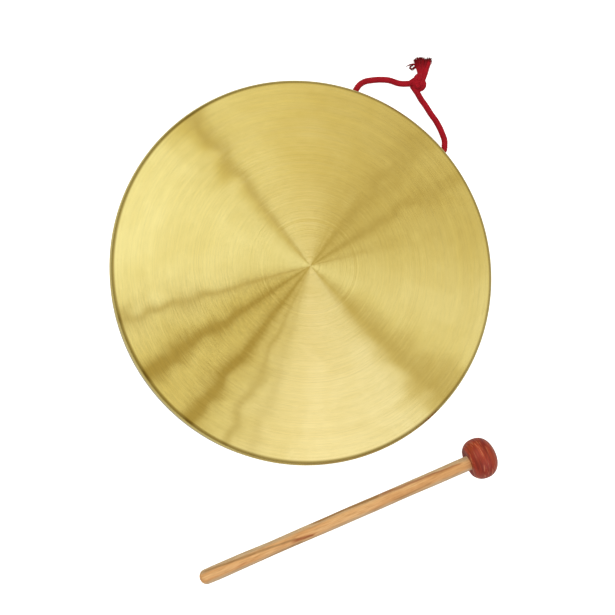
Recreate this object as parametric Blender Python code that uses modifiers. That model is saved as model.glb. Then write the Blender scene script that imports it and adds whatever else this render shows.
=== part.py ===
"""Tam tam: a hand gong of spun brass with a red hanging cord, and its wooden mallet.

The set lies on a table: the gong face up on its lip, the cord loop and the mallet beside it.
Metres, +Z up, z = 0 is the table. The origin lies under the middle of the gong and mallet together.
"""

import math

import bmesh
import bpy
from mathutils import Vector

# Gong: one shell, a domed face and a rim wall that ends in a flat lip
GONG_CENTRE = Vector((0.0, 0.043, 0.0))
GONG_RADIUS = 0.150
SHEET_THICKNESS = 0.0012
RIM_DEPTH = 0.020
SHOULDER_RADIUS = 0.004
DOME_RISE = 0.014
DOME_POWER = 1.7
RIM_TAPER = 0.001
LIP_HEIGHT = 0.003
DOME_RINGS = 10
SHOULDER_RINGS = 5
GONG_STEPS = 96

# Cord holes in the rim wall, as angles about the gong's axis
HOLE_LEFT = math.radians(73.3)
HOLE_RIGHT = math.radians(40.9)
HOLE_DIAMETER = 0.0056
HOLE_HEIGHT = 0.009
CUTTER_LENGTH = 0.012
CUTTER_SIDES = 16

# Cord: the loop turns about the line through its two pivots, just outside the holes
CORD_RADIUS = 0.0024
PIVOT_RADIUS = 0.1533
INNER_END_RADIUS = 0.1506
ROUTE_SPACING = 0.004
PIVOT_BALL_RINGS = (84, 60, 30)  # degrees back from the ball's equator
GAP = 0.0003

# Knot and its two loose ends
KNOT_CENTRE = Vector((0.0965, 0.1994, 0.0060))
KNOT_HALF_SIZES = Vector((0.0066, 0.0068, 0.0053))
KNOT_SEGMENTS = 18
KNOT_RINGS = 10
TAIL_END_FACTOR_LEFT = 2.0
TAIL_END_FACTOR_RIGHT = 1.1

# Mallet, lying on its head's side and the end of its handle
HEAD_CENTRE = Vector((0.1358, -0.1028, 0.0162))
HEAD_RADIUS = 0.0162
HEAD_HALF_LENGTH = 0.0124
HEAD_SQUARENESS = 2.3
HEAD_RINGS = 22
MALLET_AZIMUTH = math.radians(21.9)
HANDLE_LENGTH = 0.2341  # tail to the head's centre
HANDLE_DEPTH_PAST_CENTRE = 0.003
HANDLE_END_ROUND = 0.005
HANDLE_END_RINGS = (25, 50, 72)  # degrees round the tail's corner, towards its tip
# Distance from the tail, and radius there: a hand-shaved dowel with a shallow waist
HANDLE_STATIONS = (
    (HANDLE_END_ROUND, 0.00570),
    (0.013, 0.00585),
    (0.035, 0.00565),
    (0.058, 0.00535),
    (0.085, 0.00555),
    (0.160, 0.00560),
    (HANDLE_LENGTH, 0.00565),
)
REST_STATION = 0  # where the handle touches the table
MALLET_STEPS = 40


def clear_scene():
    for obj in list(bpy.data.objects):
        bpy.data.objects.remove(obj, do_unlink=True)


def new_collection(name, helper=False):
    collection = bpy.data.collections.new(name)
    collection.hide_render = helper
    bpy.context.scene.collection.children.link(collection)
    return collection


def new_material(name, colour, roughness, metallic=0.0):
    material = bpy.data.materials.new(name)
    material.use_nodes = True
    shader = material.node_tree.nodes["Principled BSDF"]
    shader.inputs["Base Color"].default_value = (*colour, 1.0)
    shader.inputs["Roughness"].default_value = roughness
    shader.inputs["Metallic"].default_value = metallic
    return material


def new_empty(name, location, collection):
    empty = bpy.data.objects.new(name, None)
    empty.location = location
    empty.empty_display_size = 0.02
    collection.objects.link(empty)
    return empty


def new_object(name, data, material, collection, parent=None, rotation=(0.0, 0.0, 0.0)):
    """An object at its parent's origin, or at the world's."""
    obj = bpy.data.objects.new(name, data)
    obj.rotation_euler = rotation
    obj.parent = parent
    if material:
        data.materials.append(material)
    collection.objects.link(obj)
    return obj


def polar(radius, angle, height):
    """A point about the gong's axis."""
    offset = Vector((radius * math.cos(angle), radius * math.sin(angle), height))
    return GONG_CENTRE + offset


def profile_mesh(name, points):
    """A mesh of edges only, in the XZ plane, from (radius, height) points."""
    mesh = bpy.data.meshes.new(name)
    edges = [(i, i + 1) for i in range(len(points) - 1)]
    mesh.from_pydata([(radius, 0.0, height) for radius, height in points], edges, [])
    return mesh


def turn(obj, steps):
    """A full turn of the object's profile about its Z axis."""
    screw = obj.modifiers.new("Turn", "SCREW")
    screw.axis = "Z"
    screw.steps = steps
    screw.render_steps = steps
    screw.use_merge_vertices = True
    screw.merge_threshold = 0.00001
    screw.use_smooth_shade = True


def gong_profile():
    """The outer surface, from the middle of the face to the lip."""
    flat_radius = GONG_RADIUS - SHOULDER_RADIUS
    wall_top = RIM_DEPTH - SHOULDER_RADIUS
    slope = math.atan(DOME_POWER * DOME_RISE / flat_radius)
    arc = [(math.pi / 2 - slope) * (1 - i / SHOULDER_RINGS) for i in range(SHOULDER_RINGS + 1)]
    shoulder = [
        (
            flat_radius + SHOULDER_RADIUS * math.cos(angle),
            wall_top + SHOULDER_RADIUS * math.sin(angle),
        )
        for angle in arc
    ]
    edge_radius, edge_height = shoulder[0]
    dome = [
        (edge_radius * i / DOME_RINGS, edge_height + DOME_RISE * (1 - (i / DOME_RINGS) ** DOME_POWER))
        for i in range(DOME_RINGS)
    ]
    lip_radius = GONG_RADIUS - RIM_TAPER
    return dome + shoulder + [(lip_radius, LIP_HEIGHT), (lip_radius, 0.0)]


def hole_cutter(name, angle, collection):
    """A short cylinder that lies across the rim wall."""
    mesh = bpy.data.meshes.new(name)
    shape = bmesh.new()
    bmesh.ops.create_cone(
        shape,
        cap_ends=True,
        segments=CUTTER_SIDES,
        radius1=HOLE_DIAMETER / 2,
        radius2=HOLE_DIAMETER / 2,
        depth=CUTTER_LENGTH,
    )
    shape.to_mesh(mesh)
    shape.free()
    cutter = new_object(name, mesh, None, collection, rotation=(0.0, math.pi / 2, angle))
    cutter.location = polar(GONG_RADIUS, angle, HOLE_HEIGHT)
    cutter.hide_render = True
    cutter.display_type = "WIRE"
    return cutter


def make_gong(parent, parts, cutters):
    brass = new_material("brass", (0.66, 0.50, 0.16), 0.28, metallic=1.0)
    gong = new_object("gong_plate", profile_mesh("gong_plate", gong_profile()), brass, parts, parent)
    turn(gong, GONG_STEPS)
    shell = gong.modifiers.new("Sheet", "SOLIDIFY")
    shell.thickness = SHEET_THICKNESS
    shell.offset = -1.0
    shell.use_even_offset = True
    for name, angle in (("left_hole", HOLE_LEFT), ("right_hole", HOLE_RIGHT)):
        cut = gong.modifiers.new(name, "BOOLEAN")
        cut.operation = "DIFFERENCE"
        cut.solver = "EXACT"
        cut.object = hole_cutter(name, angle, cutters)


def catmull_rom(before, start, end, after, t):
    return 0.5 * (
        2 * start
        + (end - before) * t
        + (2 * before - 5 * start + 4 * end - after) * t**2
        + (3 * start - before - 3 * end + after) * t**3
    )


def smooth_route(points, spacing=ROUTE_SPACING):
    """Points about one spacing apart on a smooth curve through the route's own points."""
    padded = [2 * points[0] - points[1], *points, 2 * points[-1] - points[-2]]
    route = []
    for before, start, end, after in zip(padded, padded[1:], padded[2:], padded[3:]):
        steps = max(1, round((end - start).length / spacing))
        route += [catmull_rom(before, start, end, after, i / steps) for i in range(steps)]
    return route + [points[-1]]


def make_tube(name, centres, factors, material, parts, parent):
    """A cord through the centres, its radius at each one scaled by that point's factor."""
    curve = bpy.data.curves.new(name, "CURVE")
    curve.dimensions = "3D"
    curve.bevel_depth = CORD_RADIUS
    curve.bevel_resolution = 2
    curve.use_fill_caps = True
    spline = curve.splines.new("POLY")
    spline.points.add(len(centres) - 1)
    for point, centre, factor in zip(spline.points, centres, factors):
        point.co = (*(centre - parent.location), 1.0)
        point.radius = factor
    return new_object(name, curve, material, parts, parent)


def round_start(route):
    """Centres and factors of a half ball about the route's first point, in front of the route."""
    heading = (route[1] - route[0]).normalized()
    angles = [math.radians(degrees) for degrees in PIVOT_BALL_RINGS]
    centres = [route[0] - heading * CORD_RADIUS * math.sin(angle) for angle in angles]
    return centres, [math.cos(angle) for angle in angles]


def make_leg(name, points, material, parts, parent):
    """A leg of the loop, from its pivot to the knot, round about the pivot."""
    route = smooth_route([Vector(point) for point in points])
    centres, factors = round_start(route)
    make_tube(name, centres + route, factors + [1.0] * len(route), material, parts, parent)


def left_leg_route():
    return [
        polar(PIVOT_RADIUS, HOLE_LEFT, HOLE_HEIGHT),
        (0.0479, 0.1951, 0.0068),
        (0.0527, 0.1985, 0.0046),
        (0.0589, 0.2004, 0.0031),
        (0.0662, 0.2014, 0.0027),
        (0.0734, 0.2012, 0.0027),
        (0.0806, 0.1992, 0.0027),
        (0.0850, 0.1988, 0.0028),
        (0.0893, 0.1988, 0.0037),
    ]


def right_leg_route():
    return [
        polar(PIVOT_RADIUS, HOLE_RIGHT, HOLE_HEIGHT),
        (0.1169, 0.1482, 0.0080),
        (0.1174, 0.1526, 0.0064),
        (0.1167, 0.1570, 0.0046),
        (0.1148, 0.1633, 0.0031),
        (0.1117, 0.1693, 0.0027),
        (0.1075, 0.1751, 0.0027),
        (0.1038, 0.1810, 0.0027),
        (0.0997, 0.1866, 0.0028),
        (0.0974, 0.1901, 0.0035),
    ]


def inner_route():
    """The stretch behind the rim wall: out of one hole, down to the table, and up to the other."""
    middle = (HOLE_LEFT + HOLE_RIGHT) / 2
    half = (HOLE_LEFT - HOLE_RIGHT) / 2
    outward = Vector((math.cos(middle), math.sin(middle), 0.0))
    along = Vector((math.sin(middle), -math.cos(middle), 0.0))
    # Distance from the middle, distance outward from the gong's axis, and height
    side = [
        (radius * math.sin(half), radius * math.cos(half), HOLE_HEIGHT)
        for radius in (INNER_END_RADIUS, 0.1460)
    ] + [
        (0.0406, 0.1362, 0.0080),
        (0.0374, 0.1333, 0.0064),
        (0.0320, 0.1316, 0.0046),
        (0.0220, 0.1308, 0.0031),
        (0.0110, 0.1306, 0.0027),
    ]
    left = [GONG_CENTRE + outward * v - along * u + Vector((0, 0, z)) for u, v, z in side]
    right = [GONG_CENTRE + outward * v + along * u + Vector((0, 0, z)) for u, v, z in side]
    return left + right[::-1]


def make_tail(name, points, end_factor, material, parts, parent):
    """A loose end, wider towards its tip."""
    route = smooth_route([Vector(point) for point in points], spacing=CORD_RADIUS)
    last = len(route) - 1
    factors = [1 + (end_factor - 1) * (i / last) ** 2 for i in range(last + 1)]
    make_tube(name, route, factors, material, parts, parent)


def make_knot(material, parts, parent):
    mesh = bpy.data.meshes.new("knot")
    shape = bmesh.new()
    bmesh.ops.create_uvsphere(shape, u_segments=KNOT_SEGMENTS, v_segments=KNOT_RINGS, radius=1.0)
    bmesh.ops.scale(shape, vec=KNOT_HALF_SIZES, verts=shape.verts)
    shape.to_mesh(mesh)
    shape.free()
    mesh.shade_smooth()
    knot = new_object("knot", mesh, material, parts, parent)
    knot.location = KNOT_CENTRE - parent.location


def make_cord(gong, loop, parts):
    red = new_material("red_cord", (0.42, 0.010, 0.025), 0.8)
    inner = smooth_route(inner_route())
    make_tube("cord_inner", inner, [1.0] * len(inner), red, parts, gong)
    make_leg("cord_left_leg", left_leg_route(), red, parts, loop)
    make_leg("cord_right_leg", right_leg_route(), red, parts, loop)
    make_knot(red, parts, loop)
    left_tail = [(0.0984, 0.2067, 0.0052), (0.0982, 0.2130, 0.0052), (0.0980, 0.2190, 0.0052)]
    right_tail = [(0.1037, 0.2058, 0.0046), (0.1056, 0.2128, 0.0034), (0.1073, 0.2196, 0.0029)]
    make_tail("cord_left_tail", left_tail, TAIL_END_FACTOR_LEFT, red, parts, loop)
    make_tail("cord_right_tail", right_tail, TAIL_END_FACTOR_RIGHT, red, parts, loop)


def head_profile():
    """A flattened ball, from the middle of its striking face round to its bore, closed inside."""
    bore_radius = HANDLE_STATIONS[-1][1] + GAP
    power = 2 / HEAD_SQUARENESS
    mouth = math.asin((bore_radius / HEAD_RADIUS) ** (1 / power))
    last = math.pi - mouth
    outside = []
    for i in range(HEAD_RINGS + 1):
        angle = last * i / HEAD_RINGS
        across, along = math.sin(angle), math.cos(angle)
        height = math.copysign(abs(along) ** power, along) * HEAD_HALF_LENGTH
        outside.append((HEAD_RADIUS * across**power, height))
    bore_end = HANDLE_DEPTH_PAST_CENTRE + GAP
    return outside + [(bore_radius, bore_end), (0.0, bore_end)]


def handle_profile():
    """From the end inside the head, down the side, to the rounded tail."""
    top = HANDLE_STATIONS[-1][1]
    side = [(0.0, HANDLE_DEPTH_PAST_CENTRE), (top, HANDLE_DEPTH_PAST_CENTRE)]
    side += [(radius, distance - HANDLE_LENGTH) for distance, radius in reversed(HANDLE_STATIONS)]
    end_radius = HANDLE_STATIONS[0][1]
    for angle in [math.radians(degrees) for degrees in HANDLE_END_RINGS]:
        distance = HANDLE_END_ROUND * (1 - math.sin(angle))
        side.append((end_radius * math.cos(angle), distance - HANDLE_LENGTH))
    return side + [(0.0, -HANDLE_LENGTH)]


def make_mallet(mallet, parts):
    """Both pieces are turned about their own Z axis, which lies along the handle."""
    distance, radius = HANDLE_STATIONS[REST_STATION]
    slope = math.asin((HEAD_RADIUS - radius) / (HANDLE_LENGTH - distance))
    lie = (0.0, math.pi / 2 - slope, MALLET_AZIMUTH)
    stained = new_material("red_stained_wood", (0.33, 0.055, 0.030), 0.45)
    plain = new_material("plain_wood", (0.72, 0.42, 0.18), 0.6)
    pieces = (
        ("mallet_head", head_profile(), stained),
        ("mallet_handle", handle_profile(), plain),
    )
    for name, profile, material in pieces:
        piece = new_object(name, profile_mesh(name, profile), material, parts, mallet, rotation=lie)
        turn(piece, MALLET_STEPS)


def main():
    clear_scene()
    parts = new_collection("tam_tam_gong")
    cutters = new_collection("cutters", helper=True)
    pivots = [polar(PIVOT_RADIUS, angle, HOLE_HEIGHT) for angle in (HOLE_LEFT, HOLE_RIGHT)]
    gong = new_empty("gong_axis", GONG_CENTRE, parts)
    loop = new_empty("loop_hinge", (pivots[0] + pivots[1]) / 2, parts)
    mallet = new_empty("mallet_lift", HEAD_CENTRE, parts)
    make_gong(gong, parts, cutters)
    make_cord(gong, loop, parts)
    make_mallet(mallet, parts)


main()
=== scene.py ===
"""Looks for the tam tam gong set: turned brass, braided red cord, stained and bare wood.

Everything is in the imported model's frame, in metres. Every object's origin is the frame's own, so
that a material's object coordinates are places in the frame.
"""

import math

import bpy
import numpy as np
from mathutils import Matrix, Vector


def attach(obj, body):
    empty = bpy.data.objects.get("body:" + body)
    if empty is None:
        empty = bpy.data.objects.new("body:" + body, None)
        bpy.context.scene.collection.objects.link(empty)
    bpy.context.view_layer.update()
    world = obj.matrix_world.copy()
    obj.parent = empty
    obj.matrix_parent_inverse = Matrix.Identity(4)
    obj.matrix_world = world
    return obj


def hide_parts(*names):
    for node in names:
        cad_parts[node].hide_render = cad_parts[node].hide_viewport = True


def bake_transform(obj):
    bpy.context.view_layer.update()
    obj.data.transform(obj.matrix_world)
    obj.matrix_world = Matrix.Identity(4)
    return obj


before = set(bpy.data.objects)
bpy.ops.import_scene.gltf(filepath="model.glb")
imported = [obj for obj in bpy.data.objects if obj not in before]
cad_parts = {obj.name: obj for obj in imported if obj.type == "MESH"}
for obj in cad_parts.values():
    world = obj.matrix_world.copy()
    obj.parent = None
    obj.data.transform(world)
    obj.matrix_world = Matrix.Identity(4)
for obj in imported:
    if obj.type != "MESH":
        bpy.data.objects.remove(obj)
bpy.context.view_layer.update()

# Camera, which leans a little off straight down, towards the lower left
CAMERA_TILT = math.radians(13.7)
CAMERA_LEAN = math.radians(33.0)
CAMERA_AIM = Vector((0.0001, 0.0130, 0.020))
CAMERA_DISTANCE = 1.0
CAMERA_LENS = 76.53

# Key light and table
KEY_SIZE = 1.2
KEY_POWER = 6.0
KEY_PLACE = Vector((-0.9, 0.9, 1.6))
TABLE_REACH = 4.0
TABLE_HEIGHT = -0.0002

# Gong, as in the CAD
GONG_CENTRE = np.array((0.0, 0.043, 0.0))
GONG_RADIUS = 0.150
SHEET = 0.0012
RIM_DEPTH = 0.020
SHOULDER_RADIUS = 0.004
DOME_RISE = 0.014
DOME_POWER = 1.7
RIM_TAPER = 0.001
LIP_HEIGHT = 0.003
HOLE_ANGLES = (math.radians(73.3), math.radians(40.9))
HOLE_RADIUS = 0.0028
HOLE_HEIGHT = 0.009
# How finely the gong and its holes are made, and from where to where the holes are bored
GONG_SEGMENTS = 384
DOME_RINGS = 70
HOLE_SIDES = 24
CUTTER_REACH = (0.144, 0.154)

# Cord, as in the CAD
CORD_RADIUS = 0.0024
PIVOT_RADIUS = 0.1533
KNOT_CENTRE = np.array((0.0965, 0.1994, 0.0060))

# Mallet, as in the CAD
HEAD_CENTRE = Vector((0.1358, -0.1028, 0.0162))
HEAD_RADIUS = 0.0162
HEAD_HALF_LENGTH = 0.0124
HEAD_SQUARENESS = 2.3
HEAD_DISH = 0.0024
MALLET_AZIMUTH = math.radians(21.9)
HANDLE_LENGTH = 0.2341
HANDLE_TOP = 0.0028
HANDLE_END_ROUND = 0.005
# (distance from the tail, radius)
HANDLE_STATIONS = (
    (HANDLE_END_ROUND, 0.00570),
    (0.013, 0.00585),
    (0.035, 0.00565),
    (0.058, 0.00535),
    (0.085, 0.00555),
    (0.160, 0.00560),
    (HANDLE_LENGTH, 0.00565),
)


# ---------------------------------------------------------------- shader helpers


def feed(tree, node, inputs):
    """Sets a node's inputs, from (socket, value or output) pairs."""
    for name, value in dict(inputs).items():
        if isinstance(value, bpy.types.NodeSocket):
            tree.links.new(value, node.inputs[name])
        else:
            node.inputs[name].default_value = value


def put(tree, kind, inputs=(), **settings):
    """A new node with these inputs. settings are its own properties."""
    made = tree.nodes.new(kind)
    for name, value in settings.items():
        setattr(made, name, value)
    feed(tree, made, inputs)
    return made


def maths(tree, operation, *values):
    """The output of a Math node."""
    return put(tree, "ShaderNodeMath", enumerate(values), operation=operation).outputs[0]


def ramp(tree, factor, stops, interpolation="LINEAR"):
    """A colour ramp's output. stops are (position, colour of three numbers or one grey)."""
    made = put(tree, "ShaderNodeValToRGB", {"Fac": factor})
    made.color_ramp.interpolation = interpolation
    elements = made.color_ramp.elements
    while len(elements) < len(stops):
        elements.new(1.0)
    for element, (position, colour) in zip(elements, stops):
        element.position = position
        triple = (colour,) * 3 if isinstance(colour, float) else colour
        element.color = (*triple, 1.0)
    return made.outputs["Color"]


def ramp_value(tree, value, low, high, first, last):
    """first where the value is below low, last where it's above high, and smooth in between."""
    inputs = {"Value": value, "From Min": low, "From Max": high, "To Min": first, "To Max": last}
    return put(tree, "ShaderNodeMapRange", inputs, interpolation_type="SMOOTHSTEP").outputs[0]


def mix(tree, factor, first, second, blend="MIX"):
    """The colour that a Mix node gives. first and second are outputs, or three numbers each."""
    inputs = {0: factor}
    for index, value in ((6, first), (7, second)):
        inputs[index] = value if isinstance(value, bpy.types.NodeSocket) else (*value, 1.0)
    return put(tree, "ShaderNodeMix", inputs, data_type="RGBA", blend_type=blend).outputs[2]


def noise(tree, vector, scale, detail=2.0, roughness=0.5, distortion=0.0):
    """A noise texture's value, over a vector."""
    inputs = {
        "Vector": vector,
        "Scale": scale,
        "Detail": detail,
        "Roughness": roughness,
        "Distortion": distortion,
    }
    return put(tree, "ShaderNodeTexNoise", inputs).outputs["Fac"]


def noise_along(tree, value, scale, detail):
    """A one-dimensional noise texture's value."""
    inputs = {"W": value, "Scale": scale, "Detail": detail}
    return put(tree, "ShaderNodeTexNoise", inputs, noise_dimensions="1D").outputs["Fac"]


def vector_maths(tree, operation, *values):
    """The vector that a Vector Math node gives."""
    return put(tree, "ShaderNodeVectorMath", enumerate(values), operation=operation).outputs[0]


def grain_noise(tree, place, scale, **settings):
    """A noise texture's value, with its own scale along each axis."""
    return noise(tree, vector_maths(tree, "MULTIPLY", place, scale), 1.0, **settings)


def dot(tree, spot, degrees):
    """How far the spot lies out in a level direction."""
    axis = (math.cos(math.radians(degrees)), math.sin(math.radians(degrees)), 0.0)
    inputs = {0: spot, 1: axis}
    return put(tree, "ShaderNodeVectorMath", inputs, operation="DOT_PRODUCT").outputs["Value"]


def frame_place(tree):
    """The shaded point's place in the frame."""
    return put(tree, "ShaderNodeTexCoord").outputs["Object"]


def bump(tree, height, distance, strength=1.0):
    """A normal tipped by the slope of a height map."""
    inputs = {"Height": height, "Distance": distance, "Strength": strength}
    return put(tree, "ShaderNodeBump", inputs).outputs["Normal"]


def new_material(name):
    """A material with only a Principled shader, and that shader."""
    material = bpy.data.materials.new(name)
    material.use_nodes = True
    return material, material.node_tree, material.node_tree.nodes["Principled BSDF"]


def attribute(tree, name, output="Vector"):
    """A mesh attribute's value, by name."""
    return put(tree, "ShaderNodeAttribute", attribute_name=name).outputs[output]


# ---------------------------------------------------------------- mesh helpers


def new_mesh_object(name, vertices, faces, materials, smooth_angle=None):
    """A smooth-shaded object in the scene. Edges sharper than smooth_angle stay sharp."""
    mesh = bpy.data.meshes.new(name)
    mesh.from_pydata([tuple(v) for v in vertices], [], faces)
    mesh.update()
    for material in materials:
        mesh.materials.append(material)
    mesh.shade_smooth()
    if smooth_angle is not None:
        mesh.set_sharp_from_angle(angle=smooth_angle)
    obj = bpy.data.objects.new(name, mesh)
    bpy.context.scene.collection.objects.link(obj)
    return obj


def store(obj, name, values):
    """A vertex attribute: one number a vertex, or three."""
    values = np.asarray(values, np.float32)
    kind, key = ("FLOAT", "value") if values.ndim == 1 else ("FLOAT_VECTOR", "vector")
    made = obj.data.attributes.new(name, kind, "POINT")
    made.data.foreach_set(key, values.ravel())


def loft_faces(rings, sides, first=0):
    """Quads between rings of vertices, and a fan at each end round a pole vertex.

    Vertices come as: the start pole, the rings one after another, the end pole.
    """
    faces = []
    start, end = first, first + 1 + rings * sides
    for i in range(sides):
        j = (i + 1) % sides
        faces.append((start, start + 1 + j, start + 1 + i))
        last = start + 1 + (rings - 1) * sides
        faces.append((end, last + i, last + j))
    for ring in range(rings - 1):
        low = first + 1 + ring * sides
        for i in range(sides):
            j = (i + 1) % sides
            faces.append((low + i, low + j, low + sides + j, low + sides + i))
    return faces


def turned_vertices(profile, angles, wobble=None):
    """A profile of (radius, height) turned about Z: its first point, rings of vertices, its last.

    wobble(height, angle) is a share of the radius, added to it.
    """
    rings = np.array(profile[1:-1])
    radius, angle = np.meshgrid(rings[:, 0], angles, indexing="ij")
    height = np.repeat(rings[:, 1:2], len(angles), axis=1)
    if wobble:
        radius = radius * (1 + wobble(height, angle))
    points = np.stack([radius * np.cos(angle), radius * np.sin(angle), height], -1).reshape(-1, 3)
    return np.vstack([(0, 0, profile[0][1]), points, (0, 0, profile[-1][1])])


def catmull_rom(before, start, end, after, t):
    """The point at a share t of the way from start to end, on a smooth curve through all four."""
    return 0.5 * (
        2 * start
        + (end - before) * t
        + (2 * before - 5 * start + 4 * end - after) * t**2
        + (3 * start - before - 3 * end + after) * t**3
    )


def smooth_route(points, spacing):
    """Points about one spacing apart on a smooth curve through the given ones."""
    points = [np.array(point, float) for point in points]
    padded = [2 * points[0] - points[1], *points, 2 * points[-1] - points[-2]]
    route = []
    for before, start, end, after in zip(padded, padded[1:], padded[2:], padded[3:]):
        steps = max(1, round(np.linalg.norm(end - start) / spacing))
        route += [catmull_rom(before, start, end, after, i / steps) for i in range(steps)]
    return np.array(route + [points[-1]])


def run_length(path):
    """The distance along the path at each of its points."""
    steps = np.linalg.norm(np.diff(path, axis=0), axis=1)
    return np.concatenate([[0.0], np.cumsum(steps)])


def tube_vertices(path, radius, angle):
    """The path's first point, a ring of vertices about each point, and its last point.

    radius has a row for each point of the path, with one value or one for each angle.
    """
    first, second = cross_frames(path)
    rings = (
        path[:, None, :]
        + first[:, None, :] * (radius * np.cos(angle))[..., None]
        + second[:, None, :] * (radius * np.sin(angle))[..., None]
    )
    return np.vstack([path[:1], rings.reshape(-1, 3), path[-1:]])


def cross_frames(path):
    """Two unit vectors across the path at each point, which turn as little as they can."""
    tangents = np.gradient(path, axis=0)
    tangents /= np.linalg.norm(tangents, axis=1, keepdims=True)
    side = np.cross(tangents[0], (0.0, 0.0, 1.0))
    if np.linalg.norm(side) < 0.1:
        side = np.cross(tangents[0], (1.0, 0.0, 0.0))
    sides = []
    for tangent in tangents:
        side = side - tangent * side.dot(tangent)
        side = side / np.linalg.norm(side)
        sides.append(side)
    sides = np.array(sides)
    return sides, np.cross(tangents, sides)


# ---------------------------------------------------------------- camera, light, table


def make_camera():
    """The photo's camera, over the object."""
    data = bpy.data.cameras.new("camera")
    data.lens = CAMERA_LENS
    camera = bpy.data.objects.new("camera", data)
    bpy.context.scene.collection.objects.link(camera)
    lean_axis = Vector((-math.sin(CAMERA_LEAN), math.cos(CAMERA_LEAN), 0.0))
    turn = Matrix.Rotation(-CAMERA_TILT, 4, lean_axis)
    place = CAMERA_AIM + turn @ Vector((0.0, 0.0, CAMERA_DISTANCE))
    camera.matrix_world = Matrix.Translation(place) @ turn
    bpy.context.scene.camera = camera


# The overhead light: softboxes set out like the slices of a pie, about the point that the middle of
# the gong mirrors. Each entry is (direction in degrees, how bright).
SOFTBOXES = (
    (-180, 2.10),
    (-168, 1.75),
    (-160, 1.30),
    (-152, 1.00),
    (-144, 1.00),
    (-135, 1.00),
    (-124, 1.15),
    (-112, 1.60),
    (-100, 2.05),
    (-90, 2.20),
    (-70, 2.00),
    (-57, 1.95),
    (-51, 1.60),
    (-46, 0.85),
    (-38, 0.85),
    (-30, 1.20),
    (-20, 1.40),
    (-8, 1.30),
    (4, 1.05),
    (20, 0.98),
    (36, 0.84),
    (54, 0.66),
    (70, 0.80),
    (100, 1.00),
    (112, 1.25),
    (124, 1.30),
    (128, 0.90),
    (132, 0.95),
    (140, 1.90),
    (152, 2.15),
    (180, 2.10),
)
# The gaps between the softboxes are strips: (direction in degrees, how far out it starts and ends,
# half width, how deep). The lengths are in the units of a direction's x and y.
GAPS = (
    (-164, 0.00, 2.0, 0.032, 0.62),
    (-146.5, 0.00, 2.0, 0.046, 1.20),
    (-127.5, 0.00, 2.0, 0.044, 1.20),
    (-116, 0.00, 2.0, 0.030, 0.48),
    (-107, 0.00, 2.0, 0.045, 0.22),
    (-43, 0.00, 2.0, 0.066, 0.53),
    (-36, 0.45, 2.0, 0.100, 0.36),
    (17, 0.00, 0.2, 0.030, 0.65),
    (32, 0.00, 0.1, 0.026, 0.60),
    (32, 0.00, 0.4, 0.036, 0.62),
    (48, 0.00, 0.4, 0.044, 0.62),
    (126, 0.45, 2.0, 0.070, 0.42),
    (128.5, 0.00, 2.0, 0.030, 0.44),
)
# The softboxes' slightly different colours: (direction in degrees, tint)
TINTS = (
    (-180, (1.00, 0.99, 0.93)),
    (-150, (1.00, 1.01, 1.05)),
    (-120, (1.00, 0.99, 1.03)),
    (-90, (1.01, 0.96, 1.03)),
    (-58, (1.01, 0.99, 1.13)),
    (-30, (1.01, 1.01, 1.05)),
    (20, (1.01, 1.02, 1.10)),
    (45, (1.00, 1.00, 1.00)),
    (90, (1.02, 1.00, 1.00)),
    (140, (1.01, 1.00, 0.94)),
    (180, (1.00, 0.99, 0.93)),
)
# The light falls off this way, in degrees
FALL_OFF = 30
# Colours of the gaps, of softboxes that are off, dim and bright, of the horizon, and of what the
# camera sees behind everything
LIGHT_GAP = (0.480, 0.393, 0.180)
LIGHT_DARK = (0.556, 0.442, 0.235)
LIGHT_MIDDLE = (0.873, 0.838, 0.60)
LIGHT_BRIGHT = (1.12, 1.185, 1.26)
LIGHT_HORIZON = (0.30, 0.27, 0.24)
BACKDROP = (0.86, 0.86, 0.86)


def light_colour(level):
    """0 is a softbox that's off, 1 a dim one, 2 a bright one, and above 2 they get brighter."""
    low, high, share = LIGHT_DARK, LIGHT_MIDDLE, level
    if level > 1:
        low, high, share = LIGHT_MIDDLE, LIGHT_BRIGHT, level - 1
    return tuple(max(0.0, a + (b - a) * share) for a, b in zip(low, high))


def mirrored_direction():
    """Where the middle of the gong's face reflects the camera's line of sight to."""
    middle = Vector(GONG_CENTRE) + Vector((0.0, 0.0, RIM_DEPTH + DOME_RISE))
    sight = (middle - bpy.context.scene.camera.matrix_world.translation).normalized()
    return Vector((sight.x, sight.y, -sight.z))


def light_gap(tree, spot, degrees, start, end, half_width, depth):
    """How dark it is at the spot, 0 to depth: a strip that runs outwards in a direction."""
    out = dot(tree, spot, degrees)
    begun = ramp_value(tree, out, start - 0.02, start + 0.02, 0.0, 1.0)
    ended = ramp_value(tree, out, end - 0.15, end + 0.15, 1.0, 0.0)
    aside = maths(tree, "ABSOLUTE", dot(tree, spot, degrees + 90))
    strip = ramp_value(tree, aside, 0.0, half_width, depth, 0.0)
    return maths(tree, "MULTIPLY", strip, maths(tree, "MULTIPLY", begun, ended))


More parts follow.
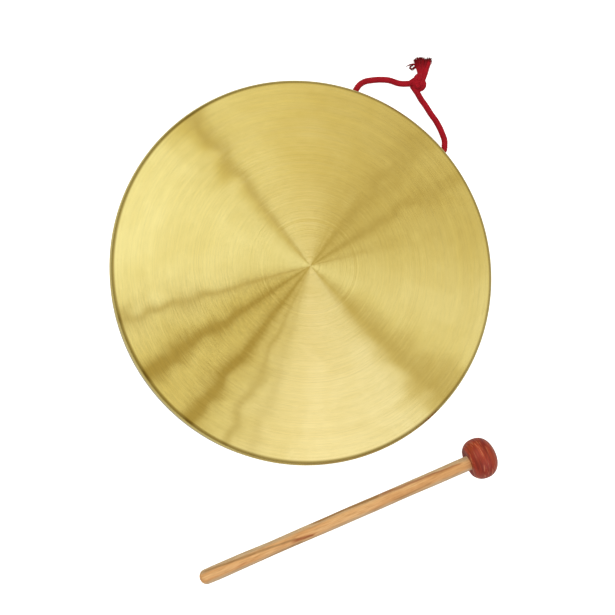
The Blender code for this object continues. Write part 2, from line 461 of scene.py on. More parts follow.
def overhead_light(tree, direction):
    """The colour of the light overhead: the softboxes, with the gaps between them.

    It's darker towards FALL_OFF, and a little round the middle.
    """
    apex = mirrored_direction()
    across = maths(tree, "SUBTRACT", direction.outputs[0], apex.x)
    along = maths(tree, "SUBTRACT", direction.outputs[1], apex.y)
    angle = maths(tree, "ARCTAN2", along, across)
    turn = maths(tree, "MULTIPLY_ADD", angle, 0.5 / math.pi, 0.5)
    stops = [(0.5 + degrees / 360, light_colour(level)) for degrees, level in SOFTBOXES]
    tints = [(0.5 + degrees / 360, tint) for degrees, tint in TINTS]
    boxes = mix(tree, 1.0, ramp(tree, turn, stops), ramp(tree, turn, tints), "MULTIPLY")
    spot = put(tree, "ShaderNodeCombineXYZ", {0: across, 1: along}).outputs[0]
    for gap in GAPS:
        boxes = mix(tree, light_gap(tree, spot, *gap), boxes, LIGHT_GAP)
    distance = put(tree, "ShaderNodeVectorMath", {0: spot}, operation="LENGTH").outputs["Value"]
    middle = ramp_value(tree, distance, 0.05, 0.45, 0.25, 0.0)
    far_side = ramp_value(tree, dot(tree, spot, FALL_OFF), 0.20, 0.80, 0.0, 0.42)
    return mix(tree, far_side, mix(tree, middle, boxes, LIGHT_DARK), LIGHT_DARK)


def make_world():
    """The overhead light down to a dim horizon, and a plain grey for the camera."""
    world = bpy.data.worlds.new("studio")
    bpy.context.scene.world = world
    world.use_nodes = True
    tree = world.node_tree
    place = put(tree, "ShaderNodeTexCoord").outputs["Generated"]
    direction = put(tree, "ShaderNodeSeparateXYZ", {0: place})
    height = ramp_value(tree, direction.outputs[2], 0.10, 0.60, 0.0, 1.0)
    light = mix(tree, height, LIGHT_HORIZON, overhead_light(tree, direction))
    seen = put(tree, "ShaderNodeLightPath").outputs["Is Camera Ray"]
    feed(tree, tree.nodes["Background"], {"Color": mix(tree, seen, light, BACKDROP)})


def make_key_light():
    """A weak disk of light from the upper left. It shades the cord and the mallet.

    The brass doesn't mirror it.
    """
    data = bpy.data.lights.new("key", "AREA")
    data.shape = "DISK"
    data.size = KEY_SIZE
    data.energy = KEY_POWER
    light = bpy.data.objects.new("key", data)
    turn = (-KEY_PLACE).to_track_quat("-Z", "Y").to_matrix().to_4x4()
    light.matrix_world = Matrix.Translation(KEY_PLACE) @ turn
    light.visible_glossy = False
    bpy.context.scene.collection.objects.link(light)


def make_table():
    """A white table just under the object, which the camera sees as plain white."""
    signs = ((-1, -1), (1, -1), (1, 1), (-1, 1))
    corners = [(x * TABLE_REACH, y * TABLE_REACH, TABLE_HEIGHT) for x, y in signs]
    material, tree, shader = new_material("table_white")
    inputs = {
        "Base Color": (0.66, 0.66, 0.66, 1.0),
        "Roughness": 0.9,
        "Emission Color": (1.0, 1.0, 1.0, 1.0),
        "Emission Strength": put(tree, "ShaderNodeLightPath").outputs["Is Camera Ray"],
    }
    feed(tree, shader, inputs)
    table = new_mesh_object("table", corners, [(0, 1, 2, 3)], [material])


# ---------------------------------------------------------------- gong


def gong_profile():
    """(radius, height) of the outer surface from the middle to the lip, then the inner one back."""
    flat = GONG_RADIUS - SHOULDER_RADIUS
    wall_top = RIM_DEPTH - SHOULDER_RADIUS
    slope = math.atan(DOME_POWER * DOME_RISE / flat)
    angles = np.linspace(math.pi / 2 - slope, 0.0, 12)
    lip = GONG_RADIUS - RIM_TAPER

    def shell(inset):
        """The surface that lies this far inside the outer one, from the middle to the lip."""
        bend = SHOULDER_RADIUS - inset
        shoulder = np.column_stack([flat + bend * np.cos(angles), wall_top + bend * np.sin(angles)])
        edge, top = shoulder[0]
        radii = edge * np.linspace(0.0, 1.0, DOME_RINGS, endpoint=False)[1:]
        heights = top + DOME_RISE * (1 - (radii / edge) ** DOME_POWER)
        dome = np.column_stack([radii, heights])
        up = np.linspace(0.75, 0.0, 4)
        wall = [lip - inset + RIM_TAPER * up, LIP_HEIGHT + (wall_top - LIP_HEIGHT) * up]
        rings = [*dome, *shoulder, *np.column_stack(wall)]
        return [(0.0, top + DOME_RISE), *rings, (lip - inset, 0.0)]

    return shell(0.0) + shell(SHEET)[::-1]


def make_gong():
    """The gong: a thin shell, open at the back, with the two holes for its cord."""
    profile = gong_profile()
    angles = np.linspace(0.0, 2 * math.pi, GONG_SEGMENTS, endpoint=False)
    vertices = turned_vertices(profile, angles) + GONG_CENTRE
    faces = [face[::-1] for face in loft_faces(len(profile) - 2, GONG_SEGMENTS)]
    gong = new_mesh_object("gong", vertices, faces, [brass_face(), brass_inside()])
    cut_holes(gong)
    mark_inside(gong)
    gong.data.set_sharp_from_angle(angle=math.radians(35))
    local = np.array([v.co for v in gong.data.vertices]) - GONG_CENTRE
    store(gong, "radius", np.hypot(local[:, 0], local[:, 1]))
    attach(gong, "gong")
    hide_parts("gong_plate")


def cut_holes(gong):
    """Bores the two cord holes across the rim wall."""
    turn = 2 * math.pi * np.arange(HOLE_SIDES) / HOLE_SIDES
    cutters = []
    for angle in HOLE_ANGLES:
        out = np.array((math.cos(angle), math.sin(angle), 0.0))
        path = np.array([GONG_CENTRE + out * r + (0, 0, HOLE_HEIGHT) for r in CUTTER_REACH])
        vertices = tube_vertices(path, HOLE_RADIUS, turn)
        cutter = new_mesh_object("cutter", vertices, loft_faces(len(path), HOLE_SIDES), [])
        cut = gong.modifiers.new("hole", "BOOLEAN")
        cut.object = cutter
        cut.solver = "EXACT"
        cutters.append(cutter)
    bpy.context.view_layer.update()
    evaluated = gong.evaluated_get(bpy.context.evaluated_depsgraph_get())
    mesh = bpy.data.meshes.new_from_object(evaluated)
    gong.modifiers.clear()
    gong.data = mesh
    for cutter in cutters:
        bpy.data.objects.remove(cutter)


def mark_inside(gong):
    """Gives the faces that look towards the axis, or down inside, the second material."""
    for polygon in gong.data.polygons:
        centre = np.array(polygon.center) - GONG_CENTRE
        normal = np.array(polygon.normal)
        inwards = normal[:2].dot(centre[:2]) < -0.2 * np.hypot(*centre[:2])
        downwards = normal[2] < -0.3 and centre[2] > 0.001
        polygon.material_index = 1 if inwards or downwards else 0


# Slopes of the face's turning grooves, of its long waves and of the ripples on the far side
GROOVE_SLOPE = 1.4
WAVE_SLOPE = 0.042
RIPPLE_SLOPE = 0.06
# Brush marks are noise: once round the gong is a circle of this radius in it, and a metre outwards
# is this far along it. They are real, but they are painted stronger in one direction, in degrees,
# as painted light: the light shows them best on that side.
BRUSH_CIRCLE = 12.0
BRUSH_RINGS = 1000.0
BRUSH_LIGHT_SIDE = 212
# The rounded shoulder gets painted shade, which stands in for the dark reflection it shows: from
# where to where outwards, measured from its inner edge, and upwards, measured from the top of the
# wall, and how dark it is on the side away from the light
SHADE_OUTWARDS = (-0.0003, 0.0016)
SHADE_UPWARDS = (0.0026, 0.0034)
SHADE_FAR_SIDE = 0.55
# Colours of the brass: each tone is (place on a ramp, colour)
FACE_TONES = ((0.35, (0.785, 0.632, 0.22)), (0.62, (0.835, 0.69, 0.267)))
BRUSH_TONES = ((0.34, 0.945), (0.60, 1.05))
# Painted shade for the rounded shoulder, in place of the dark reflection it shows
PAINTED_SHOULDER_SHADE = (0.33, 0.235, 0.055)
INSIDE_TONES = ((0.3, (0.50, 0.36, 0.12)), (0.7, (0.70, 0.55, 0.20)))


def gong_radius(tree):
    """How far the shaded point is from the gong's axis."""
    return attribute(tree, "radius", "Fac")


def outward_direction(tree):
    """A level unit vector that points away from the gong's axis."""
    apart = vector_maths(tree, "SUBTRACT", frame_place(tree), GONG_CENTRE)
    return vector_maths(tree, "NORMALIZE", vector_maths(tree, "MULTIPLY", apart, (1.0, 1.0, 0.0)))


def blotches(tree):
    """Slow changes over the brass, 0 to 1."""
    return noise(tree, frame_place(tree), 22.0, detail=4.0, roughness=0.6, distortion=0.4)


def brush_marks(tree, outward):
    """Short concentric scratches, 0 to 1."""
    circle = vector_maths(tree, "MULTIPLY", outward, (BRUSH_CIRCLE,) * 3)
    rings = maths(tree, "MULTIPLY", gong_radius(tree), BRUSH_RINGS)
    lift = put(tree, "ShaderNodeCombineXYZ", {2: rings}).outputs[0]
    return noise(tree, vector_maths(tree, "ADD", circle, lift), 1.0, detail=3.0, roughness=0.6)


def face_normal(tree):
    """The surface's normal, tipped in and out by the turning grooves and sideways by long waves.

    The waves are deeper towards the rim, and have ripples on the side away from the light.
    """
    place, outward, radius = frame_place(tree), outward_direction(tree), gong_radius(tree)
    sideways = vector_maths(tree, "CROSS_PRODUCT", outward, (0.0, 0.0, 1.0))
    waves = maths(tree, "SUBTRACT", noise(tree, place, 42.0, detail=1.0), 0.5)
    waves = maths(tree, "MULTIPLY", waves, ramp_value(tree, radius, 0.02, 0.09, 0.0, WAVE_SLOPE))
    ripples = maths(tree, "SUBTRACT", noise(tree, place, 60.0, detail=2.0), 0.5)
    rippled = ramp_value(tree, dot(tree, place, FALL_OFF), 0.04, 0.13, 0.0, RIPPLE_SLOPE)
    waves = maths(tree, "MULTIPLY_ADD", ripples, rippled, waves)
    grooves = noise_along(tree, radius, 8600.0, 1.0)
    slope = maths(tree, "MULTIPLY_ADD", grooves, GROOVE_SLOPE, -0.5 * GROOVE_SLOPE)
    total = put(tree, "ShaderNodeNewGeometry").outputs["Normal"]
    for direction, amount in ((outward, slope), (sideways, waves)):
        inputs = {0: direction, "Scale": amount}
        tip = put(tree, "ShaderNodeVectorMath", inputs, operation="SCALE").outputs[0]
        total = vector_maths(tree, "ADD", total, tip)
    return vector_maths(tree, "NORMALIZE", total)


def shoulder_shade(tree):
    """How much painted shade the rounded shoulder gets, 0 to 1. It stands in for the dark
    reflection that the shoulder shows.
    """
    out_from, out_to = (GONG_RADIUS - SHOULDER_RADIUS + step for step in SHADE_OUTWARDS)
    up_from, up_to = (RIM_DEPTH - SHOULDER_RADIUS + step for step in SHADE_UPWARDS)
    height = put(tree, "ShaderNodeSeparateXYZ", {0: frame_place(tree)}).outputs[2]
    side = dot(tree, outward_direction(tree), FALL_OFF)
    most = ramp_value(tree, side, -0.2, 0.7, 1.0, SHADE_FAR_SIDE)
    outwards = ramp_value(tree, gong_radius(tree), out_from, out_to, 0.0, 1.0)
    upwards = ramp_value(tree, height, up_from, up_to, 0.0, 1.0)
    return maths(tree, "MULTIPLY", most, maths(tree, "MULTIPLY", outwards, upwards))


def brass_face():
    """Turned and polished brass, whose fine grooves stretch reflections outwards."""
    material, tree, shader = new_material("brass_turned")
    outward = outward_direction(tree)
    marks = ramp(tree, brush_marks(tree, outward), BRUSH_TONES)
    # Painted light on real marks: the brush marks are painted stronger on the side where the light
    # shows them best
    light_shown = ramp_value(tree, dot(tree, outward, BRUSH_LIGHT_SIDE), 0.86, 0.99, 0.35, 1.0)
    colour = mix(tree, light_shown, ramp(tree, blotches(tree), FACE_TONES), marks, "MULTIPLY")
    inputs = {
        # The shoulder gets painted shade, which stands in for its dark reflection
        "Base Color": mix(tree, shoulder_shade(tree), colour, PAINTED_SHOULDER_SHADE),
        "Metallic": 1.0,
        "Roughness": 0.06,
        "Anisotropic": 1.0,
        "Anisotropic Rotation": 0.25,
        "Tangent": put(tree, "ShaderNodeTangent", direction_type="RADIAL", axis="Z").outputs[0],
        "Normal": face_normal(tree),
    }
    feed(tree, shader, inputs)
    return material


def brass_inside():
    """The darker, unpolished brass of the back."""
    material, tree, shader = new_material("brass_inside")
    patches = blotches(tree)
    inputs = {
        "Base Color": ramp(tree, patches, INSIDE_TONES),
        "Metallic": 1.0,
        "Roughness": ramp(tree, patches, ((0.3, 0.45), (0.7, 0.32))),
        "Normal": bump(tree, noise_along(tree, gong_radius(tree), 160.0, 2.0), 0.0001),
    }
    feed(tree, shader, inputs)
    return material


# ---------------------------------------------------------------- cord


# The braid: strands each way round, how far one strand is from the next along the cord, how deep
# it is, and the relief (0 to 1) of a cut end
STRANDS = 8
BRAID_PITCH = 0.0019
BRAID_DEPTH = 0.00030
END_RELIEF = 0.3
# How finely a cord is made
CORD_SIDES = 48
RING_SPACING = 0.0003
# Colours of the cotton, with painted shade between the strands, from between the strands to the top
# of a strand: (relief, colour)
COTTON_AND_CREASE_SHADE = (
    (0.0, (0.11, 0.001, 0.003)),
    (0.45, (0.39, 0.006, 0.016)),
    (1.0, (0.52, 0.012, 0.028)),
)


def cord_material():
    """Red cotton, with painted shade between the strands. It reads the relief that the mesh stores.
    """
    material, tree, shader = new_material("red_cotton")
    place = frame_place(tree)
    # Painted shade between the strands: the lower the relief, the darker the cotton
    depth = ramp(tree, attribute(tree, "relief", "Fac"), COTTON_AND_CREASE_SHADE)
    tone = ramp(tree, noise(tree, place, 160.0, detail=2.0), ((0.3, 0.82), (0.7, 1.08)))
    inputs = {
        "Base Color": mix(tree, 1.0, depth, tone, "MULTIPLY"),
        "Roughness": 0.85,
        "Sheen Weight": 0.06,
        "Sheen Roughness": 0.4,
        "Specular IOR Level": 0.15,
        "Normal": bump(tree, noise(tree, place, 2600.0, detail=3.0), 0.00012, 0.7),
    }
    feed(tree, shader, inputs)
    return material


def braid_relief(turn, along):
    """Height, 0 to 1, of the strand that lies on top at a place on the braid."""
    right = turn * STRANDS + along / BRAID_PITCH
    left = turn * STRANDS - along / BRAID_PITCH
    over = (np.floor(right) + np.floor(left)) % 2 < 0.5
    right = (right % 1) * 2 - 1
    left = (left % 1) * 2 - 1
    across, lengthways = np.where(over, right, left), np.where(over, left, right)
    return (1 - across**2) * (1 - 0.45 * lengthways**2)


def braid_parts(path, radius=CORD_RADIUS, sides=CORD_SIDES, depth=BRAID_DEPTH):
    """(vertices, faces, relief) of a braided cord along the path."""
    turn = np.arange(sides) / sides
    relief = braid_relief(turn[None, :], run_length(path)[:, None])
    vertices = tube_vertices(path, radius - depth * (0.6 - relief), 2 * math.pi * turn)
    values = np.concatenate([[END_RELIEF], relief.ravel(), [END_RELIEF]])
    return vertices, loft_faces(len(path), sides), values


def join_parts(name, parts, material):
    """One object from several (vertices, faces, relief) parts."""
    vertices, faces, relief = [], [], []
    for points, polygons, values in parts:
        start = len(vertices)
        vertices += list(points)
        faces += [tuple(start + i for i in polygon) for polygon in polygons]
        relief += list(values)
    obj = new_mesh_object(name, vertices, faces, [material])
    store(obj, "relief", relief)
    return obj


def polar(radius, angle, height):
    """A place by its distance and direction from the gong's axis."""
    return GONG_CENTRE + (radius * math.cos(angle), radius * math.sin(angle), height)


def left_leg_route():
    """Out of the left hole, down to the table and along it to the knot."""
    return [
        polar(0.1485, HOLE_ANGLES[0], HOLE_HEIGHT),
        polar(PIVOT_RADIUS, HOLE_ANGLES[0], HOLE_HEIGHT),
        (0.0479, 0.1951, 0.0068),
        (0.0527, 0.1985, 0.0046),
        (0.0589, 0.2004, 0.0031),
        (0.0662, 0.2014, 0.0026),
        (0.0734, 0.2012, 0.0026),
        (0.0806, 0.1992, 0.0026),
        (0.0850, 0.1988, 0.0027),
        (0.0890, 0.1988, 0.0037),
        (0.0925, 0.1987, 0.0044),
    ]


def right_leg_route():
    """Out of the right hole, down to the table and along it to the knot."""
    return [
        polar(0.1485, HOLE_ANGLES[1], HOLE_HEIGHT),
        polar(PIVOT_RADIUS, HOLE_ANGLES[1], HOLE_HEIGHT),
        (0.1169, 0.1482, 0.0080),
        (0.1174, 0.1526, 0.0064),
        (0.1167, 0.1570, 0.0046),
        (0.1148, 0.1633, 0.0031),
        (0.1117, 0.1693, 0.0026),
        (0.1075, 0.1751, 0.0026),
        (0.1038, 0.1810, 0.0026),
        (0.0997, 0.1866, 0.0027),
        (0.0967, 0.1910, 0.0037),
        (0.0940, 0.1945, 0.0043),
        (0.0920, 0.1968, 0.0050),
    ]


def inner_route():
    """Behind the rim wall: out of one hole, down to the table, and up to the other."""
    middle = sum(HOLE_ANGLES) / 2
    half = (HOLE_ANGLES[0] - HOLE_ANGLES[1]) / 2
    outward = np.array((math.cos(middle), math.sin(middle), 0.0))
    along = np.array((math.sin(middle), -math.cos(middle), 0.0))
    side = [(r * math.sin(half), r * math.cos(half), HOLE_HEIGHT) for r in (0.1495, 0.1460)] + [
        (0.0406, 0.1362, 0.0080),
        (0.0374, 0.1333, 0.0064),
        (0.0320, 0.1316, 0.0046),
        (0.0220, 0.1308, 0.0031),
        (0.0110, 0.1306, 0.0027),
    ]
    left = [GONG_CENTRE + outward * v - along * u + (0, 0, z) for u, v, z in side]
    right = [GONG_CENTRE + outward * v + along * u + (0, 0, z) for u, v, z in side]
    return left + right[::-1]


def make_cord_piece(name, points, material):
    """(object, path, length) of a braided cord through the points."""
    path = smooth_route(points, RING_SPACING)
    return join_parts(name, [braid_parts(path)], material), path, run_length(path)[-1]


# The knot: how it's turned, its size and height, how far its two strands lie from the middle line
# between them, and their radius, which is less than the cord's because the knot is pulled tight
KNOT_TURN = math.radians(34)
KNOT_SCALE = 0.00150
KNOT_RISE = 0.0023
STRAND_OFFSET = 0.0012
STRAND_RADIUS = 0.00195
STRAND_SIDES = 32
STRAND_DEPTH = 0.00026


def knot_strand(side, leg_end, tail):
    """One strand of the doubled overhand knot: from its leg, round the knot, to its loose end."""
    angles = np.radians(np.linspace(-22, 262, 26))
    x = np.sin(angles) + 2 * np.sin(2 * angles)
    y = np.cos(angles) - 2 * np.cos(2 * angles)
    x, y = (
        x * math.cos(KNOT_TURN) - y * math.sin(KNOT_TURN),
        x * math.sin(KNOT_TURN) + y * math.cos(KNOT_TURN),
    )
    ring = np.column_stack([x * KNOT_SCALE, y * KNOT_SCALE, -np.sin(3 * angles) * KNOT_RISE])
    heading = np.gradient(ring, axis=0)
    sideways = np.column_stack([-heading[:, 1], heading[:, 0], np.zeros(len(ring))])
    sideways /= np.linalg.norm(sideways, axis=1, keepdims=True)
    ring = ring + sideways * side * STRAND_OFFSET + KNOT_CENTRE
    return [*leg_end, *ring, *tail]


def make_knot(material):
    """Two strands knotted together, and the turn that lies across their left side."""
    strands = (
        knot_strand(
            1,
            [(0.0902, 0.1988, 0.0040), (0.0930, 0.1986, 0.0048)],
            [(0.0968, 0.2040, 0.0064), (0.0990, 0.2070, 0.0054)],
        ),
        knot_strand(
            -1,
            [(0.0945, 0.1952, 0.0050), (0.0930, 0.1978, 0.0060), (0.0936, 0.1996, 0.0066)],
            [(0.0990, 0.2030, 0.0056), (0.1010, 0.2056, 0.0050), (0.1028, 0.2084, 0.0044)],
        ),
        [
            (0.0893, 0.1980, 0.0044),
            (0.0908, 0.1996, 0.0058),
            (0.0944, 0.2020, 0.0068),
            (0.0980, 0.2044, 0.0064),
            (0.1002, 0.2066, 0.0050),
        ],
    )
    parts = []
    for points in strands:
        path = smooth_route(points, RING_SPACING)
        parts.append(braid_parts(path, STRAND_RADIUS, STRAND_SIDES, STRAND_DEPTH))
    return join_parts("knot_body", parts, material)


def fibre_parts(path, radius, tone=0.55):
    """A thin tapering fibre, four-sided, with a dark tip."""
    share = np.linspace(0, 1, len(path))
    radii = radius * (1 - 0.6 * share)
    vertices = tube_vertices(path, radii[:, None], np.radians((0, 90, 180, 270)))
    tones = tone * (1 - 0.9 * share**3)
    values = np.concatenate([tones[:1], np.repeat(tones, 4), tones[-1:]])
    return vertices, loft_faces(len(path), 4), values


# How many yarns are in the frayed end's bush, in each of its wisps and in the whole end's stub
BUSH_YARNS = 300
WISP_YARNS = 34
STUB_YARNS = 90
# Yarns lie no lower than this
YARN_FLOOR = 0.0004
# Wisps of yarn that curl away from the bush: (spread at the root, at the tip, route)
WISPS = (
    (
        0.0009,
        0.0003,
        (
            (0.0982, 0.2124, 0.0044),
            (0.0962, 0.2143, 0.0036),
            (0.0938, 0.2155, 0.0026),
            (0.0912, 0.2154, 0.0016),
            (0.0886, 0.2141, 0.0010),
        ),
    ),
    (
        0.0010,
        0.0007,
        (
            (0.0980, 0.2110, 0.0040),
            (0.0960, 0.2132, 0.0030),
            (0.0943, 0.2125, 0.0022),
            (0.0928, 0.2119, 0.0016),
            (0.0916, 0.2128, 0.0012),
            (0.0921, 0.2142, 0.0014),
            (0.0934, 0.2148, 0.0018),
        ),
    ),
)


def bush_parts(draw):
    """Yarns that spread apart from the knot and end almost level."""
    base = np.array((0.0996, 0.2062, 0.0050))
    parts = []
    for _ in range(BUSH_YARNS):
        around = draw.uniform(0, 2 * math.pi)
        out = math.sqrt(draw.uniform(0, 1))
        side, rise = out * math.cos(around), out * math.sin(around)
        reach = 0.0141 - 0.0018 * side**2 + 0.0002 * side + draw.normal(0, 0.0004)
        start = base + (side * 0.0026, 0.0, rise * 0.0020)
        middle = base + (side * 0.0036 - 0.0004, reach * 0.45, rise * 0.0024)
        tip = base + (side * 0.0062 - 0.0004, reach, rise * 0.0030) + draw.normal(0, 0.0003, 3)
        middle[2], tip[2] = max(middle[2], YARN_FLOOR), max(tip[2], YARN_FLOOR)
        parts.append(fibre_parts(smooth_route([start, middle, tip], 0.0012), 0.00033))
    return parts


def wisp_parts(draw):
    """The yarns of the wisps, scattered about each wisp's route."""
    parts = []
    for root, tip, wisp in WISPS:
        spread = np.linspace(root, tip, len(wisp))[:, None]
        for _ in range(WISP_YARNS):
            points = np.array(wisp) + draw.normal(0, 0.5, (len(wisp), 3)) * spread
            points[:, 2] = np.maximum(points[:, 2], YARN_FLOOR)
            parts.append(fibre_parts(smooth_route(points, 0.0008), 0.00028, 0.30))
    return parts


def make_frayed_tail(material):
    """The left loose end: unlaid into a bush of yarns, with a few wisps that curl away left."""
    draw = np.random.default_rng(7)
    parts = bush_parts(draw) + wisp_parts(draw)
    tail = join_parts("frayed_end", parts, material)
    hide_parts("cord_left_tail")
    return tail


def stub_parts(path):
    """Short dark yarn ends that stand out of a cut end of cord."""
    draw = np.random.default_rng(3)
    heading = path[-1] - path[-8]
    heading /= np.linalg.norm(heading)
    parts = []
    for _ in range(STUB_YARNS):
        start = path[-4] + draw.normal(0, 0.0010, 3) * (1, 1, 0.8)
        tip = start + heading * draw.uniform(0.0018, 0.0034) + draw.normal(0, 0.0002, 3)
        tip[2] = max(tip[2], YARN_FLOOR)
        route = smooth_route([start, (start + tip) / 2, tip], 0.0008)
        parts.append(fibre_parts(route, 0.00026, 0.05))
    return parts


def make_whole_tail(material):
    """The right loose end: whole braid, cut off straight, with a stub of loose yarn ends.

    The relief that the colour reads falls to nothing over the braid's last 3 mm, so its colour
    darkens there.
    """
    points = [
        (0.0998, 0.1998, 0.0054),
        (0.1011, 0.2036, 0.0056),
        (0.1027, 0.2074, 0.0050),
        (0.1043, 0.2118, 0.0040),
        (0.1058, 0.2158, 0.0032),
        (0.1071, 0.2193, 0.0028),
    ]
    path = smooth_route(points, RING_SPACING)
    along = run_length(path)
    vertices, faces, relief = braid_parts(path)
    relief_kept = np.clip((along[-1] - along) / 0.003, 0.0, 1.0)
    relief[1:-1] *= np.repeat(relief_kept, CORD_SIDES)
    parts = [(vertices, faces, relief), *stub_parts(path)]
    tail = join_parts("whole_end", parts, material)
    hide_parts("cord_right_tail")
    return tail


def make_leg(name, points, angle, node, pieces, material):
    """One leg of the loop, from its hole to the knot. pieces is not used."""
    leg, path, length = make_cord_piece(name, points, material)
    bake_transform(leg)
    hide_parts(node)


def make_cord():
    """The whole cord: the knot, its two loose ends, the two legs and the stretch behind the rim."""
    material = cord_material()
    knot = make_knot(material)
    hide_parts("knot")
    ends = [make_frayed_tail(material), make_whole_tail(material)]
    for piece in [knot, *ends]:
        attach(piece, "hanging_loop")
    legs = (
        ("left_leg", left_leg_route(), HOLE_ANGLES[0], "cord_left_leg", [knot, *ends]),
        ("right_leg", right_leg_route(), HOLE_ANGLES[1], "cord_right_leg", []),
    )
    for leg in legs:
        make_leg(*leg, material)
    inner, path, length = make_cord_piece("inner_stretch", inner_route(), material)
    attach(inner, "gong")
    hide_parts("cord_inner")


# ---------------------------------------------------------------- mallet


def mallet_placement():
    """The matrix from the mallet's own frame to ours.

    In its own frame Z runs from tail to head, and the origin is in the head. The axis leans so that
    both the head and the tail touch the table.
    """
    distance, radius = HANDLE_STATIONS[0]
    slope = math.asin((HEAD_RADIUS - radius) / (HANDLE_LENGTH - distance))
    turn = Matrix.Rotation(MALLET_AZIMUTH, 4, "Z") @ Matrix.Rotation(math.pi / 2 - slope, 4, "Y")
    return Matrix.Translation(HEAD_CENTRE) @ turn


def turned_piece(name, profile, sides, material, wobble):
    """A piece turned about the mallet's axis, from its tail upwards."""
    local = turned_vertices(profile, 2 * math.pi * np.arange(sides) / sides, wobble)
    matrix = np.array(mallet_placement())
    world = local @ matrix[:3, :3].T + matrix[:3, 3]
    faces = loft_faces(len(profile) - 2, sides)
    obj = new_mesh_object(name, world, faces, [material], math.radians(50))
    store(obj, "local", local)
    return obj


def handle_profile():
    """From the tail up to the end inside the head."""
    distances, radii = np.array(HANDLE_STATIONS).T
    end = [
        (radii[0] * math.cos(a), HANDLE_END_ROUND * (1 - math.sin(a)) - HANDLE_LENGTH)
        for a in np.radians(np.linspace(90, 8, 10))
    ]
    along = np.linspace(distances[0], HANDLE_LENGTH, 150)
    side = [(np.interp(d, distances, radii), d - HANDLE_LENGTH) for d in along]
    return end + side + [(radii[-1], HANDLE_TOP), (0.0, HANDLE_TOP)]


def head_profile():
    """From the back, dished round the handle, to the middle of the striking face."""
    power = 2 / HEAD_SQUARENESS
    outside = []
    for angle in np.linspace(math.pi, 0.0, 64):
        across, along = math.sin(angle), math.cos(angle)
        radius = HEAD_RADIUS * across**power
        height = math.copysign(abs(along) ** power, along) * HEAD_HALF_LENGTH
        if along < 0:
            height += HEAD_DISH * float(np.interp(radius, (0.0060, 0.0115), (1.0, 0.0)))
        outside.append((radius, height))
    return outside


# Colours of the wood: each tone is (place on a ramp, colour)
HANDLE_TONES = (
    (0.32, (0.66, 0.335, 0.125)),
    (0.50, (0.76, 0.40, 0.16)),
    (0.68, (0.83, 0.49, 0.22)),
)
HEAD_TONES = (
    (0.32, (0.26, 0.020, 0.009)),
    (0.50, (0.36, 0.036, 0.014)),
    (0.70, (0.43, 0.058, 0.022)),
)
HANDLE_GRAIN = ((0.32, (0.74, 0.65, 0.55)), (0.54, (1.02, 1.02, 1.02)))
HEAD_GRAIN = ((0.30, 0.60), (0.58, 1.08))
# Painted sheen: the handle's sides, across it as seen from above, are paler and greyer
PAINTED_SIDE_SHEEN = (0.66, 0.50, 0.315)
# Turning marks on the head, painted lighter as the glints on their ridges
HEAD_GLINT_STREAK = (0.60, 0.17, 0.08)
DARK_GRAIN = (0.42, 0.225, 0.085)
RED_GRAIN = (0.42, 0.14, 0.045)
# Marks in the handle's wood: from and to, as (distance from the head, distance aside, half width),
# then how deep the mark is and its colour
HANDLE_MARKS = (
    ((-0.232, 0.0044, 0.0011), (-0.190, 0.0024, 0.0013), 0.85, DARK_GRAIN),
    ((-0.190, 0.0024, 0.0013), (-0.158, 0.0002, 0.0012), 0.80, DARK_GRAIN),
    ((-0.161, -0.0010, 0.0024), (-0.144, -0.0022, 0.0012), 0.95, RED_GRAIN),
    ((-0.186, -0.0046, 0.0008), (-0.154, -0.0040, 0.0012), 0.60, DARK_GRAIN),
    ((-0.206, -0.0019, 0.0009), (-0.199, -0.0013, 0.0009), 0.50, RED_GRAIN),
    ((-0.142, 0.0052, 0.0010), (-0.086, 0.0047, 0.0013), 1.00, DARK_GRAIN),
    ((-0.086, 0.0047, 0.0013), (-0.018, 0.0030, 0.0010), 0.70, RED_GRAIN),
    ((-0.076, -0.0034, 0.0012), (-0.045, -0.0018, 0.0008), 0.45, DARK_GRAIN),
)


def grain_mark(tree, aside, along, start, end, depth):
    """How strong a mark is at a place, 0 to depth: a soft stroke between two places."""
    reach = {"Value": along, "From Min": start[0], "From Max": end[0]}
    centre, width = (
        put(tree, "ShaderNodeMapRange", {**reach, "To Min": first, "To Max": last}).outputs[0]
        for first, last in zip(start[1:], end[1:])
    )
    off = maths(tree, "ABSOLUTE", maths(tree, "SUBTRACT", aside, centre))
    stroke = ramp_value(tree, maths(tree, "DIVIDE", off, width), 0.2, 1.0, depth, 0.0)
    begun = ramp_value(tree, along, start[0] - 0.003, start[0] + 0.005, 0.0, 1.0)
    ended = ramp_value(tree, along, end[0] - 0.001, end[0] + 0.003, 1.0, 0.0)
    return maths(tree, "MULTIPLY", stroke, maths(tree, "MULTIPLY", begun, ended))


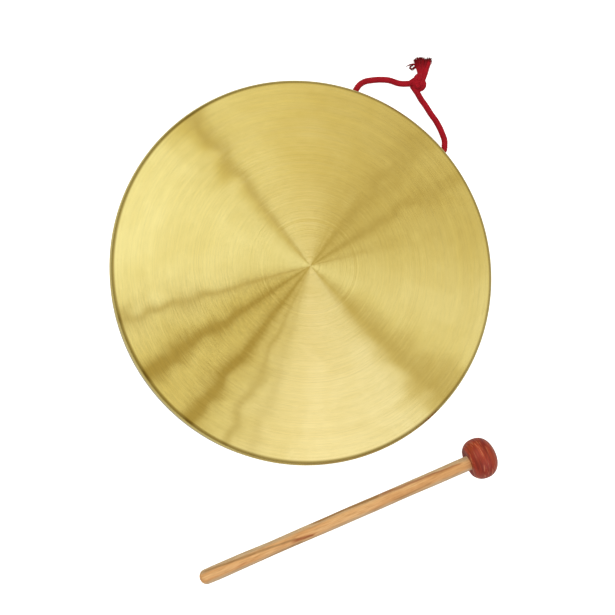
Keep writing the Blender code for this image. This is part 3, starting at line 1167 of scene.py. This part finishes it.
def plain_wood():
    """Bare wood with long streaks, the marks in HANDLE_MARKS, and a painted sheen that makes its
    sides paler.
    """
    material, tree, shader = new_material("bare_wood")
    place = attribute(tree, "local")
    split = put(tree, "ShaderNodeSeparateXYZ", {0: place})
    ripple = maths(tree, "SUBTRACT", noise(tree, place, 60.0, detail=3.0), 0.5)
    aside = maths(tree, "MULTIPLY_ADD", ripple, 0.0016, split.outputs[1])
    along = split.outputs[2]
    grain = grain_noise(tree, place, (1000.0, 1000.0, 80.0), detail=4.0, roughness=0.6)
    figure = grain_noise(tree, place, (260.0, 260.0, 30.0), detail=3.0)
    pores = grain_noise(tree, place, (2600.0, 2600.0, 90.0))
    # Painted sheen: paler and greyer towards the handle's sides, as seen from above
    side_sheen = ramp_value(tree, maths(tree, "ABSOLUTE", aside), 0.0022, 0.0050, 0.0, 0.85)
    base = mix(tree, side_sheen, ramp(tree, figure, HANDLE_TONES), PAINTED_SIDE_SHEEN)
    for start, end, depth, tone in HANDLE_MARKS:
        base = mix(tree, grain_mark(tree, aside, along, start, end, depth), base, tone)
    inputs = {
        "Base Color": mix(tree, 0.8, base, ramp(tree, grain, HANDLE_GRAIN), "MULTIPLY"),
        "Roughness": 0.6,
        "Specular IOR Level": 0.3,
        "Normal": bump(tree, pores, 0.00006, 0.6),
    }
    feed(tree, shader, inputs)
    return material


def stained_wood():
    """Wood stained red under a thin lacquer, with the grain across the mallet's axis. Its lighter
    streaks are turning marks, painted lighter as the glints on their ridges.
    """
    material, tree, shader = new_material("red_stained_wood")
    place = attribute(tree, "local")
    grain = grain_noise(tree, place, (60.0, 45.0, 900.0), detail=4.0, roughness=0.6)
    figure = grain_noise(tree, place, (70.0, 40.0, 260.0), distortion=0.5)
    streaks = grain_noise(tree, place, (190.0, 60.0, 950.0), distortion=0.4)
    # Painted glints: the turning marks are painted lighter, as their ridges catch the light
    glint_streaked = ramp(tree, streaks, ((0.56, 0.0), (0.66, 0.80)))
    base = mix(tree, glint_streaked, ramp(tree, figure, HEAD_TONES), HEAD_GLINT_STREAK)
    inputs = {
        "Base Color": mix(tree, 1.0, base, ramp(tree, grain, HEAD_GRAIN), "MULTIPLY"),
        "Roughness": 0.42,
        "Specular IOR Level": 0.3,
        "Coat Weight": 0.05,
        "Coat Roughness": 0.25,
        "Normal": bump(tree, grain, 0.00005, 0.5),
    }
    feed(tree, shader, inputs)
    return material


def shaved(height, angle):
    """The handle's unevenness, as a share of its radius."""
    twist = 0.012 * np.sin(2 * angle + 70 * height)
    return twist + 0.008 * np.sin(3 * angle - 140 * height + 1.0)


def sanded(height, angle):
    """The head's unevenness, as a share of its radius."""
    return 0.006 * np.sin(2 * angle + 0.5) + 0.004 * np.sin(3 * angle + 200 * height)


def make_mallet():
    """The mallet's head and handle."""
    stick = turned_piece("mallet_stick", handle_profile(), 48, plain_wood(), shaved)
    ball = turned_piece("mallet_ball", head_profile(), 96, stained_wood(), sanded)
    looks = ((stick, "mallet_handle", "plain_wood"), (ball, "mallet_head", "red_stained_wood"))
    for piece, node, slot in looks:
        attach(piece, "mallet")
        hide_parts(node)


make_camera()
make_cord()
make_world()
make_key_light()
make_table()
make_gong()
make_mallet()
bpy.context.scene.view_settings.view_transform = "Standard"
